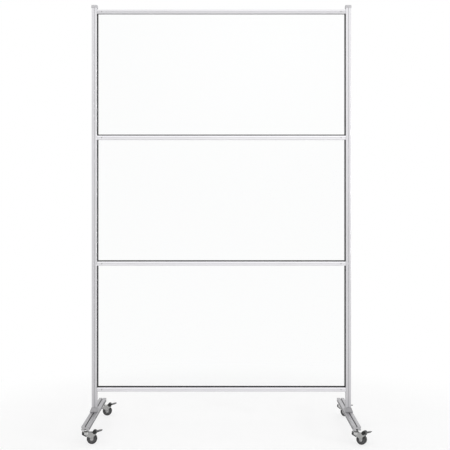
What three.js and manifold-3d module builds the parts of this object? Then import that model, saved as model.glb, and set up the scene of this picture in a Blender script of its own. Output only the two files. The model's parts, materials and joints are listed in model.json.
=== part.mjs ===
// A mobile glass barrier panel: an aluminium frame with three clear panes on two feet with braked casters.
// Millimetres. +X is the viewer's right, +Y is away from the viewer and +Z is up. The floor is at Z = 0.
import * as THREE from "three";
import { mergeVertices } from "three/addons/utils/BufferGeometryUtils.js";
import Module from "manifold-3d";

const wasm = await Module();
wasm.setup();

// Driving dimensions of the frame.
const WIDTH = 1220;
const HEIGHT = 1995;
const POST_SIZE = 25;
const RAIL_HEIGHT = 20;
const BOTTOM_RAIL_CENTRE = 186;
const TOP_RAIL_DROP = 31.5;
const RAIL_COUNT = 4;
const FIT = 0.3;

// The extrusions of posts and rails.
const PROFILE_RADIUS = 2;
const PROFILE_WALL = 2.2;
const LINE_GROOVE_WIDTH = 2.6;
const LINE_GROOVE_FLOOR = 1.8;
const LINE_GROOVE_DEPTH = 1.1;
const CHANNEL_WIDTH = 9.6;
const POST_CHANNEL_DEPTH = 8;
const RAIL_CHANNEL_DEPTH = 6;
const RAIL_WEB = 1.5;
const CHAMBER_RADIUS = 0.6;

// The caps on the posts.
const CAP_OVERHANG = 2;
const CAP_HEIGHT = 13;
const CAP_TOP = 3;
const CAP_RADIUS = 4;
const CAP_BEVEL = 1.2;
const CAP_PLUG_LENGTH = 22;

// Glass and the rubber gaskets that hold it.
const GLASS_THICKNESS = 4;
const GLASS_CORNER_RADIUS = 3;
const GASKET_SHOWING = 5.2;
const GASKET_FLOOR = 2.4;
const GASKET_LIP_RADIUS = 1;
const TOP_GASKET_FLOOR = 1.6;

// The connectors that hold a rail between the posts.
const CONNECTOR_LENGTH = 36;

// The feet: one flat extrusion under each post.
const FOOT_LENGTH = 600;
const FOOT_WIDTH = 36;
const FOOT_HEIGHT = 18;
const FOOT_RADIUS = 1.5;
const FOOT_LINE_SLOT_WIDTH = 5.4;
const FOOT_LINE_SLOT_DEPTH = 4;
const FOOT_SIDE_SLOT_WIDTH = 4.6;
const FOOT_SIDE_SLOT_DEPTH = 2.5;
const FOOT_T_SLOT_OPENING = 9;
const FOOT_T_SLOT_LIP = 1.8;
const FOOT_T_SLOT_WIDTH = 15;
const FOOT_T_SLOT_DEPTH = 7;
const FOOT_T_SLOT_WALL = 2.3;
const FOOT_CHAMBER_WALL = 1.5;
const END_CAP_THICKNESS = 3;
const END_CAP_PLUG_LENGTH = 14;

// The tapered brackets between feet and posts.
const BRACKET_OVERHANG = 1;
const BRACKET_LENGTH = 62;
const BRACKET_HEIGHT = 20;
const BRACKET_EDGE = 4;
const BRACKET_RADIUS = 3;
const BRACKET_COLLAR = 1;
const TONGUE_LENGTH = 46;
const FOOT_BOLT_RADIUS = 4;
const FOOT_BOLT_HEAD_PLAY = 1;
const FOOT_BOLT_SOCKET_RADIUS = 3;
const FOOT_BOLT_SOCKET_DEPTH = 2.6;
const FOOT_BOLT_GRIP = 15;

// The casters.
const CASTER_INSET = 22;
const CASTER_TRAIL = 26;
const WHEEL_DIAMETER = 46;
const TYRE_WIDTH = 17;
const TYRE_THICKNESS = 6;
const TYRE_EDGE_RADIUS = 4;
const HUB_RIM_STEP = 1.5;
const HUB_RIM_THICKNESS = 2.4;
const HUB_WEB = 5;
const HUB_BOSS_RADIUS = 6.5;
const AXLE_RADIUS = 3;
const AXLE_HEAD_RADIUS = 5.4;
const AXLE_HEAD_HEIGHT = 3;
const AXLE_TIP = 1;
const FORK_SHEET = 2;
const FORK_SIDE_GAP = 1.7;
const FORK_TOP_GAP = 3.8;
const FORK_HEAD_RADIUS = 16;
const FORK_HEAD_DEPTH = 8;
const FORK_PEDAL_GAP = 5.4;
const FORK_BOSS_RADIUS = 8;
const FORK_NOSE = 9;
const FORK_TAIL_LENGTH = 8.4;
const FORK_TAIL_DROP = 9;
const RACE_RADIUS = 15.6;
const RACE_HEIGHT = 5;
const RACE_TOP_RADIUS = 8;
const RACE_EDGE = 1.4;
const STEM_PLAY = 0.5;
const STEM_HEAD_RADIUS = 7;
const STEM_HEAD_HEIGHT = 3;
const NUT_ACROSS_FLATS = 13;
const NUT_HEIGHT = 6.6;
const T_HEAD_PLAY = 0.4;
const GUARD_LIP_GAP = 0.5;
const GUARD_LIP_THICKNESS = 2;
const GUARD_LIP_RISE = 2.2;
const GUARD_TYRE_GAP = 1.8;
const GUARD_SIDE_GAP = 0.5;

// The brake pedals.
const PEDAL_PIVOT_RISE = 1.7;
const PEDAL_HEAD_RADIUS = 9.2;
const PEDAL_CHEEK_RADIUS = 8.4;
const PEDAL_CHEEK_THICKNESS = 2.6;
const PEDAL_TYRE_GAP = 0.8;
const PEDAL_LENGTH = 33.4;
const PEDAL_FOOT_GAP = 1.6;
const PEDAL_THICKNESS = 4.6;
const PEDAL_TIP_LIP = 1.6;
const PEDAL_WIDTH = 26;
const PEDAL_TREAD_GAP = 2;
const PEDAL_TRUNNION_RADIUS = 2.6;
const PEDAL_EAR_WALL = 2.8;
const RUNNING_GAP = 0.6;

// How far each caster is turned about its stem, in degrees from trailing to +X.
const FRONT_LEFT_TURN = 0;
const FRONT_RIGHT_TURN = -30;
const REAR_LEFT_TURN = 0;
const REAR_RIGHT_TURN = -48;

// Where the round stretches of the fork's boss and of the brake housing start and end, in half turns.
const forkBossShares = [0.8, 2.05];
const guardArcShares = [0.88, 0.54];

// Cuts run past the faces that they open by this much.
const OVERRUN = 5;
const ARC_SEGMENTS = 2;
const CURVE_SEGMENTS = 6;
const ROUND_SEGMENTS = 20;
const WHEEL_SEGMENTS = 36;
const HEX = 6;

// Sizes and places of the frame that follow from the sizes above.
const ORIGIN = [0, 0, 0];
const POST_CENTRE = (WIDTH - POST_SIZE) / 2;
const POST_INNER_FACE = WIDTH / 2 - POST_SIZE;
const POST_TOP = HEIGHT - CAP_TOP - FIT;
const CHAMBER_LOW = -POST_SIZE / 2 + PROFILE_WALL;
const CHAMBER_HIGH = POST_SIZE / 2 - POST_CHANNEL_DEPTH - PROFILE_WALL;
const CHAMBER_X = (CHAMBER_LOW + CHAMBER_HIGH) / 2;
const CHAMBER_WIDTH = CHAMBER_HIGH - CHAMBER_LOW;
const CHAMBER_DEPTH = POST_SIZE - 2 * PROFILE_WALL;
const RAIL_DEPTH = POST_SIZE;
const RAIL_LENGTH = 2 * (POST_INNER_FACE - FIT);
const RAIL_PITCH = (HEIGHT - TOP_RAIL_DROP - BOTTOM_RAIL_CENTRE) / (RAIL_COUNT - 1);
const RAIL_CHAMBER_WIDTH = RAIL_DEPTH - 2 * PROFILE_WALL;
const RAIL_CHAMBER_HEIGHT = RAIL_HEIGHT - 2 * (RAIL_CHANNEL_DEPTH + RAIL_WEB);
const GASKET_WIDTH = CHANNEL_WIDTH - 2 * FIT;
const GLASS_SLOT = GLASS_THICKNESS + 2 * FIT;

// Sizes and places of the casters and feet, counted up from the floor.
const CASTER_Y = FOOT_LENGTH / 2 - CASTER_INSET;
const WHEEL_RADIUS = WHEEL_DIAMETER / 2;
const WHEEL_CENTRE = [CASTER_TRAIL, 0, WHEEL_RADIUS];
const TYRE_BORE = WHEEL_RADIUS - TYRE_THICKNESS;
const FORK_INNER = TYRE_WIDTH / 2 + FORK_SIDE_GAP;
const FORK_OUTER = FORK_INNER + FORK_SHEET;
const FORK_UNDERSIDE = WHEEL_DIAMETER + FORK_TOP_GAP;
const FORK_TOP = FORK_UNDERSIDE + FORK_SHEET;
const RACE_BOTTOM = FORK_TOP + FIT;
const RACE_TOP = RACE_BOTTOM + RACE_HEIGHT;
const CASTER_HEIGHT = RACE_TOP + NUT_HEIGHT + FIT;
const FOOT_TOP = CASTER_HEIGHT + FOOT_HEIGHT;
const POST_BOTTOM = FOOT_TOP + BRACKET_HEIGHT;
const STEM_RADIUS = FOOT_T_SLOT_OPENING / 2 - STEM_PLAY;
const T_HEAD_HEIGHT = FOOT_T_SLOT_DEPTH - FOOT_T_SLOT_LIP - 2 * FIT;
const PEDAL_PIVOT_HEIGHT = FORK_TOP + PEDAL_PIVOT_RISE;
const PEDAL_PIVOT_REACH =
  CASTER_TRAIL +
  Math.sqrt(
    (WHEEL_RADIUS + PEDAL_TYRE_GAP + PEDAL_HEAD_RADIUS) ** 2 - (PEDAL_PIVOT_HEIGHT - WHEEL_RADIUS) ** 2,
  );
const PEDAL_PIVOT = [PEDAL_PIVOT_REACH, 0, PEDAL_PIVOT_HEIGHT];
const PEDAL_REACH = PEDAL_PIVOT_REACH + PEDAL_LENGTH;
const PEDAL_TIP_HEIGHT = CASTER_HEIGHT - PEDAL_FOOT_GAP;
const FORK_HEAD_REACH = PEDAL_PIVOT_REACH - PEDAL_HEAD_RADIUS - FORK_PEDAL_GAP;
const FORK_TAIL = PEDAL_PIVOT_REACH + FORK_TAIL_LENGTH;

// The front right pedal reaches out past the feet, so the frame stands this far to one side and to the
// back of the middle of the footprint, where the origin is.
const PEDAL_CORNER = PEDAL_WIDTH / 4;
const PEDAL_ANGLE = THREE.MathUtils.degToRad(-FRONT_RIGHT_TURN);
const PEDAL_SIDE_REACH =
  (PEDAL_REACH - PEDAL_CORNER) * Math.cos(PEDAL_ANGLE) + PEDAL_CORNER * Math.sin(PEDAL_ANGLE) + PEDAL_CORNER;
const PEDAL_FRONT_REACH =
  (PEDAL_REACH - PEDAL_CORNER) * Math.sin(PEDAL_ANGLE) + PEDAL_CORNER * Math.cos(PEDAL_ANGLE) + PEDAL_CORNER;
const FRAME_SHIFT_X = (FOOT_WIDTH / 2 - PEDAL_SIDE_REACH) / 2;
const FRAME_SHIFT_Y = (PEDAL_FRONT_REACH - CASTER_INSET - FIT - END_CAP_THICKNESS) / 2;

// Finishes.
const finish = (color, roughness, metalness, extra = {}) => () =>
  new THREE.MeshStandardMaterial({ color, roughness, metalness, ...extra });
const ANODISED = finish("#c9cace", 0.42, 0.9);
const CAST = finish("#b4b5ba", 0.5, 0.85);
const CLEAR_GLASS = finish("#eef3f2", 0.05, 0, { transparent: true, opacity: 0.35 });
const RUBBER = finish("#202123", 0.8, 0);
const CAP_PLASTIC = finish("#b9babd", 0.5, 0);
const ZINC = finish("#d3d4d0", 0.25, 1);
const STEEL = finish("#9a9b9d", 0.35, 1);
const BLACK_PLASTIC = finish("#17181a", 0.55, 0);
const TYRE_RUBBER = finish("#26272a", 0.75, 0);
const HUB_PLASTIC = finish("#6f7175", 0.6, 0);

// Turns a closed geometry into a solid that can be joined and cut.
function solid(geometry) {
  const plain = geometry.index ? geometry.toNonIndexed() : geometry.clone();
  plain.deleteAttribute("normal");
  plain.deleteAttribute("uv");
  const merged = mergeVertices(plain);
  const mesh = new wasm.Mesh({
    numProp: 3,
    vertProperties: new Float32Array(merged.attributes.position.array),
    triVerts: new Uint32Array(merged.index.array),
  });
  return new wasm.Manifold(mesh);
}

// Turns a solid back into a geometry with flat normals.
function geometryOf(body) {
  const mesh = body.getMesh();
  const geometry = new THREE.BufferGeometry();
  const points = new Float32Array((mesh.vertProperties.length / mesh.numProp) * 3);
  for (let i = 0; i < points.length / 3; i += 1) {
    points.set(mesh.vertProperties.subarray(i * mesh.numProp, i * mesh.numProp + 3), i * 3);
  }
  geometry.setAttribute("position", new THREE.BufferAttribute(points, 3));
  geometry.setIndex(new THREE.BufferAttribute(new Uint32Array(mesh.triVerts), 1));
  const flat = geometry.toNonIndexed();
  flat.computeVertexNormals();
  return flat;
}

function cut(body, ...tools) {
  return tools.reduce((left, tool) => left.subtract(tool), body);
}

function join(...bodies) {
  return bodies.reduce((whole, body) => whole.add(body));
}

// A box from its low and high corner.
function box(low, high) {
  const size = high.map((value, i) => value - low[i]);
  const middle = high.map((value, i) => (value + low[i]) / 2);
  return solid(new THREE.BoxGeometry(...size).translate(...middle));
}

// A cylinder along Y or Z, between two places on that axis, with its centre line at the given place.
function rod(axis, radius, from, to, [x, y, z], sides = ROUND_SEGMENTS) {
  const geometry = new THREE.CylinderGeometry(radius, radius, to - from, sides);
  if (axis === "y") geometry.translate(x, (from + to) / 2, z);
  else geometry.rotateX(Math.PI / 2).translate(x, y, (from + to) / 2);
  return solid(geometry);
}

// Extrudes a shape that is drawn in X and Y upwards along Z.
function upright(shape, low, high) {
  const options = { depth: high - low, bevelEnabled: false, curveSegments: ARC_SEGMENTS };
  return solid(new THREE.ExtrudeGeometry(shape, options).translate(0, 0, low));
}

// Extrudes a shape that is drawn in X and Z along Y, evenly to both sides of Y = 0.
function across(shape, width, curveSegments = ARC_SEGMENTS) {
  const options = { depth: width, bevelEnabled: false, curveSegments };
  return solid(new THREE.ExtrudeGeometry(shape, options).rotateX(Math.PI / 2).translate(0, width / 2, 0));
}

// Extrudes a shape that is drawn in Y and Z along X, evenly to both sides of X = 0.
function sideways(shape, length) {
  const options = { depth: length, bevelEnabled: false, curveSegments: ARC_SEGMENTS };
  const turn = new THREE.Matrix4().makeBasis(
    new THREE.Vector3(0, 1, 0),
    new THREE.Vector3(0, 0, 1),
    new THREE.Vector3(1, 0, 0),
  );
  return solid(new THREE.ExtrudeGeometry(shape, options).applyMatrix4(turn).translate(-length / 2, 0, 0));
}

// Adds the corner arcs and straight sides of a rounded rectangle, with a centred groove on any side.
// A groove is a list of [half width, depth] steps from its opening inwards.
function traceProfile(path, width, height, radius, grooves = {}) {
  const sides = [
    { length: width, out: height / 2, normal: -Math.PI / 2, groove: grooves.bottom },
    { length: height, out: width / 2, normal: 0, groove: grooves.right },
    { length: width, out: height / 2, normal: Math.PI / 2, groove: grooves.top },
    { length: height, out: width / 2, normal: Math.PI, groove: grooves.left },
  ];
  let started = false;
  for (const { length, out, normal, groove = [] } of sides) {
    const at = (along, outward) => [
      outward * Math.cos(normal) - along * Math.sin(normal),
      outward * Math.sin(normal) + along * Math.cos(normal),
    ];
    const inward = groove.map(([half, depth]) => at(-half, out - depth));
    const outward = groove.map(([half, depth]) => at(half, out - depth)).reverse();
    const points = [at(radius - length / 2, out), ...inward, ...outward, at(length / 2 - radius, out)];
    for (const [x, y] of points) {
      if (started) path.lineTo(x, y);
      else path.moveTo(x, y);
      started = true;
    }
    const [cx, cy] = at(length / 2 - radius, out - radius);
    path.absarc(cx, cy, radius, normal, normal + Math.PI / 2, false);
  }
  path.closePath();
  return path;
}

function roundedRectangle(width, height, radius) {
  return traceProfile(new THREE.Shape(), width, height, radius);
}

function roundedHole(x, y, width, height, radius) {
  const middle = traceProfile(new THREE.Path(), width, height, radius).getPoints(ARC_SEGMENTS);
  return new THREE.Path(middle.map((point) => new THREE.Vector2(point.x + x, point.y + y)));
}

const lineGroove = [
  [LINE_GROOVE_WIDTH / 2, 0],
  [LINE_GROOVE_FLOOR / 2, LINE_GROOVE_DEPTH],
];

const channel = (depth) => [
  [CHANNEL_WIDTH / 2, 0],
  [CHANNEL_WIDTH / 2, depth],
];

// The post's section, with the glazing channel towards +X and the chamber behind it.
function postShape() {
  const shape = traceProfile(new THREE.Shape(), POST_SIZE, POST_SIZE, PROFILE_RADIUS, {
    right: channel(POST_CHANNEL_DEPTH),
    top: lineGroove,
    bottom: lineGroove,
    left: lineGroove,
  });
  shape.holes.push(roundedHole(CHAMBER_X, 0, CHAMBER_WIDTH, CHAMBER_DEPTH, CHAMBER_RADIUS));
  return shape;
}

// A post stands on its bracket, with its channel towards the panes.
function postGeometry(side) {
  const post = upright(postShape(), POST_BOTTOM + FIT, POST_TOP);
  return geometryOf(side > 0 ? post.rotate([0, 0, 180]) : post);
}

// A cap slips over the post's top and has a plug in its chamber.
function capGeometry(side) {
  const size = POST_SIZE + 2 * CAP_OVERHANG;
  const bottom = HEIGHT - CAP_HEIGHT;
  const skirt = upright(roundedRectangle(size, size, CAP_RADIUS), bottom, HEIGHT - CAP_BEVEL);
  const crown = taperedBlock(
    { width: size, length: size, z: HEIGHT - CAP_BEVEL },
    { width: size - 2 * CAP_BEVEL, length: size - 2 * CAP_BEVEL, z: HEIGHT },
    CAP_RADIUS,
  );
  const inside = roundedRectangle(POST_SIZE + 2 * FIT, POST_SIZE + 2 * FIT, PROFILE_RADIUS);
  const pocket = upright(inside, bottom - OVERRUN, HEIGHT - CAP_TOP);
  const plugX = -side * CHAMBER_X;
  const halfWidth = CHAMBER_WIDTH / 2 - FIT;
  const halfDepth = CHAMBER_DEPTH / 2 - FIT;
  const plug = box(
    [plugX - halfWidth, -halfDepth, HEIGHT - CAP_TOP - CAP_PLUG_LENGTH],
    [plugX + halfWidth, halfDepth, HEIGHT - CAP_TOP / 2],
  );
  return geometryOf(join(cut(join(skirt, crown), pocket), plug));
}

// The rail's section: a channel above and below for the panes, and a flat chamber for the connectors.
function railShape() {
  const grooves = {
    top: channel(RAIL_CHANNEL_DEPTH),
    bottom: channel(RAIL_CHANNEL_DEPTH),
    left: lineGroove,
    right: lineGroove,
  };
  const shape = traceProfile(new THREE.Shape(), RAIL_DEPTH, RAIL_HEIGHT, PROFILE_RADIUS, grooves);
  shape.holes.push(roundedHole(0, 0, RAIL_CHAMBER_WIDTH, RAIL_CHAMBER_HEIGHT, CHAMBER_RADIUS));
  return shape;
}

function railGeometry() {
  return geometryOf(sideways(railShape(), RAIL_LENGTH));
}

// A connector is a flat block in the rail's end, with a tongue that reaches into the post's channel.
function connectorGeometry() {
  const end = RAIL_LENGTH / 2;
  const halfWidth = RAIL_CHAMBER_WIDTH / 2 - FIT;
  const halfHeight = RAIL_CHAMBER_HEIGHT / 2 - FIT;
  const block = box([end - CONNECTOR_LENGTH, -halfWidth, -halfHeight], [end, halfWidth, halfHeight]);
  const tongue = box(
    [end - FIT, -GASKET_WIDTH / 2, -halfHeight],
    [end + POST_CHANNEL_DEPTH - 2 * FIT, GASKET_WIDTH / 2, halfHeight],
  );
  return geometryOf(join(block, tongue));
}

// A gasket strip: a U section that grips the pane. It is drawn with its open side towards +Y.
function gasketShape(depth, floor) {
  const shape = new THREE.Shape();
  const half = GASKET_WIDTH / 2;
  const slot = GLASS_SLOT / 2;
  const lipX = half - GASKET_LIP_RADIUS;
  const lipY = depth - GASKET_LIP_RADIUS;
  shape.moveTo(-half, 0);
  shape.lineTo(half, 0);
  shape.lineTo(half, lipY);
  shape.absarc(lipX, lipY, GASKET_LIP_RADIUS, 0, Math.PI / 2, false);
  shape.lineTo(slot, depth);
  shape.lineTo(slot, floor);
  shape.lineTo(-slot, floor);
  shape.lineTo(-slot, depth);
  shape.lineTo(-lipX, depth);
  shape.absarc(-lipX, lipY, GASKET_LIP_RADIUS, Math.PI / 2, Math.PI, false);
  shape.closePath();
  return shape;
}

const paneFloors = Array.from({ length: RAIL_COUNT - 1 }, (_, i) => railCentre(i) + RAIL_HEIGHT / 2);
const paneOpening = RAIL_PITCH - RAIL_HEIGHT;
const sideGasketDepth = POST_CHANNEL_DEPTH - FIT + GASKET_SHOWING;
const seatGasketDepth = RAIL_CHANNEL_DEPTH - FIT + GASKET_SHOWING;
const topGasketDepth = RAIL_CHANNEL_DEPTH - 2 * FIT;

function railCentre(index) {
  return BOTTOM_RAIL_CENTRE + index * RAIL_PITCH;
}

// One gasket wraps round each pane: two upright strips in the posts' channels, a strip that the pane
// stands on, and one that lies wholly in the channel of the rail above.
function gasketGeometry(floor) {
  const low = floor - RAIL_CHANNEL_DEPTH + FIT;
  const high = floor + paneOpening + RAIL_CHANNEL_DEPTH - FIT;
  const back = POST_INNER_FACE + POST_CHANNEL_DEPTH - FIT;
  const uprights = [-1, 1].map((side) =>
    upright(gasketShape(sideGasketDepth, GASKET_FLOOR), low, high)
      .rotate([0, 0, side * 90])
      .translate([side * back, 0, 0]),
  );
  const seat = sideways(gasketShape(seatGasketDepth, GASKET_FLOOR), 2 * back).translate([0, 0, low]);
  const cover = sideways(gasketShape(topGasketDepth, TOP_GASKET_FLOOR), 2 * back)
    .rotate([180, 0, 0])
    .translate([0, 0, high]);
  return geometryOf(join(...uprights, seat, cover));
}

// A pane reaches almost to the floor of its gasket on all four sides.
function paneGeometry(floor) {
  const low = floor - RAIL_CHANNEL_DEPTH + FIT + GASKET_FLOOR + FIT;
  const high = floor + paneOpening + RAIL_CHANNEL_DEPTH - FIT - TOP_GASKET_FLOOR - FIT;
  const half = POST_INNER_FACE + POST_CHANNEL_DEPTH - FIT - GASKET_FLOOR - FIT;
  const pane = across(roundedRectangle(2 * half, high - low, GLASS_CORNER_RADIUS), GLASS_THICKNESS);
  return geometryOf(pane.translate([0, 0, (low + high) / 2]));
}

const tSlot = [
  [FOOT_T_SLOT_OPENING / 2, 0],
  [FOOT_T_SLOT_OPENING / 2, FOOT_T_SLOT_LIP],
  [FOOT_T_SLOT_WIDTH / 2, FOOT_T_SLOT_LIP],
  [FOOT_T_SLOT_WIDTH / 2, FOOT_T_SLOT_DEPTH],
];

const plainSlot = (width, depth) => [
  [width / 2, 0],
  [width / 2, depth],
];

const chamberInner = FOOT_T_SLOT_WIDTH / 2 + FOOT_T_SLOT_WALL;
const chamberOuter = FOOT_WIDTH / 2 - FOOT_SIDE_SLOT_DEPTH - FOOT_CHAMBER_WALL;
const footChamber = {
  x: (chamberInner + chamberOuter) / 2,
  width: chamberOuter - chamberInner,
  height: FOOT_HEIGHT - 2 * FOOT_CHAMBER_WALL,
};

// The foot's section: a slot on the top, a T-slot below for the casters and a shallow slot on each side.
function footShape(bottom = tSlot) {
  return traceProfile(new THREE.Shape(), FOOT_WIDTH, FOOT_HEIGHT, FOOT_RADIUS, {
    bottom,
    top: plainSlot(FOOT_LINE_SLOT_WIDTH, FOOT_LINE_SLOT_DEPTH),
    left: plainSlot(FOOT_SIDE_SLOT_WIDTH, FOOT_SIDE_SLOT_DEPTH),
    right: plainSlot(FOOT_SIDE_SLOT_WIDTH, FOOT_SIDE_SLOT_DEPTH),
  });
}

const footMiddle = CASTER_HEIGHT + FOOT_HEIGHT / 2;

function footGeometry() {
  const shape = footShape();
  for (const side of [-1, 1]) {
    const { x, width, height } = footChamber;
    shape.holes.push(roundedHole(side * x, 0, width, height, CHAMBER_RADIUS));
  }
  const foot = across(shape, FOOT_LENGTH).translate([0, 0, footMiddle]);
  return geometryOf(cut(foot, rod("z", FOOT_BOLT_RADIUS + FIT, CASTER_HEIGHT, FOOT_TOP, ORIGIN)));
}

// An end cap has the foot's outline, with a plain notch at the T-slot, and two plugs in its chambers. It is
// drawn for the rear end.
function endCapGeometry() {
  const start = FOOT_LENGTH / 2 + FIT;
  const middle = start + END_CAP_THICKNESS / 2;
  const notch = plainSlot(FOOT_T_SLOT_OPENING, FOOT_T_SLOT_DEPTH);
  const plate = across(footShape(notch), END_CAP_THICKNESS).translate([0, middle, footMiddle]);
  const halfWidth = footChamber.width / 2 - FIT;
  const halfHeight = footChamber.height / 2 - FIT;
  const plugs = [-1, 1].map((side) => {
    const x = side * footChamber.x;
    return box(
      [x - halfWidth, start - END_CAP_PLUG_LENGTH, footMiddle - halfHeight],
      [x + halfWidth, middle, footMiddle + halfHeight],
    );
  });
  return geometryOf(join(plate, ...plugs));
}

// A block with rounded corners whose width and length change evenly from its bottom to its top.
function taperedBlock(bottom, top, radius) {
  const base = roundedRectangle(bottom.width, bottom.length, radius);
  const options = { depth: top.z - bottom.z, bevelEnabled: false, curveSegments: ARC_SEGMENTS };
  const geometry = new THREE.ExtrudeGeometry(base, options);
  const position = geometry.attributes.position;
  for (let i = 0; i < position.count; i += 1) {
    if (position.getZ(i) > 0) {
      position.setX(i, (position.getX(i) * top.width) / bottom.width);
      position.setY(i, (position.getY(i) * top.length) / bottom.length);
    }
  }
  return solid(geometry.translate(0, 0, bottom.z));
}

// The bracket sits on the foot and narrows to the post, with a tongue that stands in the post's chamber.
function bracketGeometry(side) {
  const seat = FOOT_TOP + FIT;
  const collar = POST_SIZE + 2 * BRACKET_COLLAR;
  const width = FOOT_WIDTH + 2 * BRACKET_OVERHANG;
  const edge = upright(roundedRectangle(width, BRACKET_LENGTH, BRACKET_RADIUS), seat, seat + BRACKET_EDGE);
  const slope = taperedBlock(
    { width, length: BRACKET_LENGTH, z: seat + BRACKET_EDGE },
    { width: collar, length: collar, z: POST_BOTTOM },
    BRACKET_RADIUS,
  );
  const tongueX = -side * CHAMBER_X;
  const halfWidth = CHAMBER_WIDTH / 2 - FIT;
  const halfDepth = CHAMBER_DEPTH / 2 - FIT;
  const tongue = box(
    [tongueX - halfWidth, -halfDepth, POST_BOTTOM - BRACKET_EDGE],
    [tongueX + halfWidth, halfDepth, POST_BOTTOM + TONGUE_LENGTH],
  );
  const boreTop = FOOT_TOP + FOOT_BOLT_GRIP + FIT;
  const bore = rod("z", FOOT_BOLT_RADIUS + FIT, FOOT_TOP - OVERRUN, boreTop, ORIGIN);
  return geometryOf(cut(join(edge, slope, tongue), bore));
}

// The bolt that holds the bracket has its head in the foot's T-slot.
function footBoltGeometry() {
  const headTop = CASTER_HEIGHT + FOOT_T_SLOT_DEPTH - FIT;
  const headLow = headTop - T_HEAD_HEIGHT;
  const socketTop = headLow + FOOT_BOLT_SOCKET_DEPTH;
  const head = rod("z", FOOT_T_SLOT_WIDTH / 2 - FOOT_BOLT_HEAD_PLAY, headLow, headTop, ORIGIN);
  const shank = rod("z", FOOT_BOLT_RADIUS, headLow, FOOT_TOP + FOOT_BOLT_GRIP, ORIGIN);
  const socket = rod("z", FOOT_BOLT_SOCKET_RADIUS, headLow - OVERRUN, socketTop, ORIGIN, HEX);
  return geometryOf(cut(join(head, shank), socket));
}

// Spins a profile of [radius, height] points about the Z axis.
function spun(points, segments) {
  const profile = points.map(([radius, height]) => new THREE.Vector2(radius, height));
  return solid(new THREE.LatheGeometry(profile, segments).rotateX(Math.PI / 2));
}

// The fixed half of a caster's swivel: a stud with a square head in the foot's T-slot, a hexagon and the
// upper race below the foot, and the swivel pin with its riveted head under the fork.
function stemGeometry() {
  const headTop = FORK_UNDERSIDE - FIT;
  const pin = spun(
    [
      [0, headTop - STEM_HEAD_HEIGHT],
      [STEM_RADIUS, headTop - STEM_HEAD_HEIGHT],
      [STEM_HEAD_RADIUS, headTop - STEM_HEAD_HEIGHT / 2],
      [STEM_HEAD_RADIUS, headTop],
      [STEM_RADIUS, headTop],
      [STEM_RADIUS, RACE_BOTTOM],
      [RACE_RADIUS, RACE_BOTTOM],
      [RACE_RADIUS, RACE_BOTTOM + RACE_EDGE],
      [RACE_RADIUS - RACE_EDGE, RACE_BOTTOM + 2 * RACE_EDGE],
      [RACE_TOP_RADIUS, RACE_TOP],
      [0, RACE_TOP],
    ],
    ROUND_SEGMENTS,
  );
  const corner = NUT_ACROSS_FLATS / Math.sqrt(3);
  const hexagon = rod("z", corner, RACE_TOP - FIT, RACE_TOP + NUT_HEIGHT, ORIGIN, HEX);
  const half = FOOT_T_SLOT_WIDTH / 2 - T_HEAD_PLAY;
  const headLow = CASTER_HEIGHT + FOOT_T_SLOT_LIP + FIT;
  const stud = rod("z", STEM_RADIUS, RACE_TOP, headLow + FIT, ORIGIN);
  const tHead = box([-half, -half, headLow], [half, half, headLow + T_HEAD_HEIGHT]);
  return geometryOf(join(pin, hexagon, stud, tHead));
}

// The side view of a fork leg: as deep as the drawn head under the swivel, narrowing to a round boss.
function forkLegShape() {
  const shape = new THREE.Shape();
  const [start, end] = forkBossShares.map((share) => share * Math.PI);
  shape.moveTo(FORK_TAIL - FORK_SHEET, FORK_TOP);
  shape.lineTo(-FORK_NOSE, FORK_TOP);
  shape.lineTo(-FORK_NOSE, FORK_TOP - FORK_HEAD_DEPTH);
  shape.absarc(CASTER_TRAIL, WHEEL_RADIUS, FORK_BOSS_RADIUS, start, end, false);
  shape.lineTo(CASTER_TRAIL + FORK_BOSS_RADIUS, FORK_UNDERSIDE - 2 * FORK_TAIL_DROP + FORK_SHEET);
  shape.lineTo(FORK_TAIL - FORK_SHEET, FORK_TOP - FORK_TAIL_DROP);
  shape.lineTo(FORK_TAIL, FORK_TOP - FORK_TAIL_DROP / 2);
  shape.closePath();
  return shape;
}

// The fork: a drawn round head over two legs, with holes for the stem, the axle and the pedal's trunnions.
function forkGeometry() {
  const legs = across(forkLegShape(), 2 * FORK_OUTER, CURVE_SEGMENTS);
  const head = rod("z", FORK_HEAD_RADIUS, FORK_TOP - FORK_HEAD_DEPTH, FORK_TOP, ORIGIN, WHEEL_SEGMENTS);
  const reach = PEDAL_REACH;
  const wheelSpace = box([-reach, -FORK_INNER, 0], [reach, FORK_INNER, FORK_UNDERSIDE]);
  const pedalSpace = box([FORK_HEAD_REACH, -FORK_INNER, 0], [reach, FORK_INNER, FORK_TOP + OVERRUN]);
  const sheet = cut(join(legs, head), wheelSpace, pedalSpace);
  const stemHole = rod("z", STEM_RADIUS + FIT, FORK_UNDERSIDE - OVERRUN, FORK_TOP + OVERRUN, ORIGIN);
  const axleHole = rod("y", AXLE_RADIUS + FIT, -reach, reach, WHEEL_CENTRE);
  const ears = [-FORK_OUTER, FORK_INNER].map((inner) =>
    rod("y", PEDAL_TRUNNION_RADIUS + PEDAL_EAR_WALL, inner, inner + FORK_SHEET, PEDAL_PIVOT),
  );
  const pivotHole = rod("y", PEDAL_TRUNNION_RADIUS + FIT, -reach, reach, PEDAL_PIVOT);
  return geometryOf(cut(join(sheet, ...ears), stemHole, axleHole, pivotHole));
}

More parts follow.
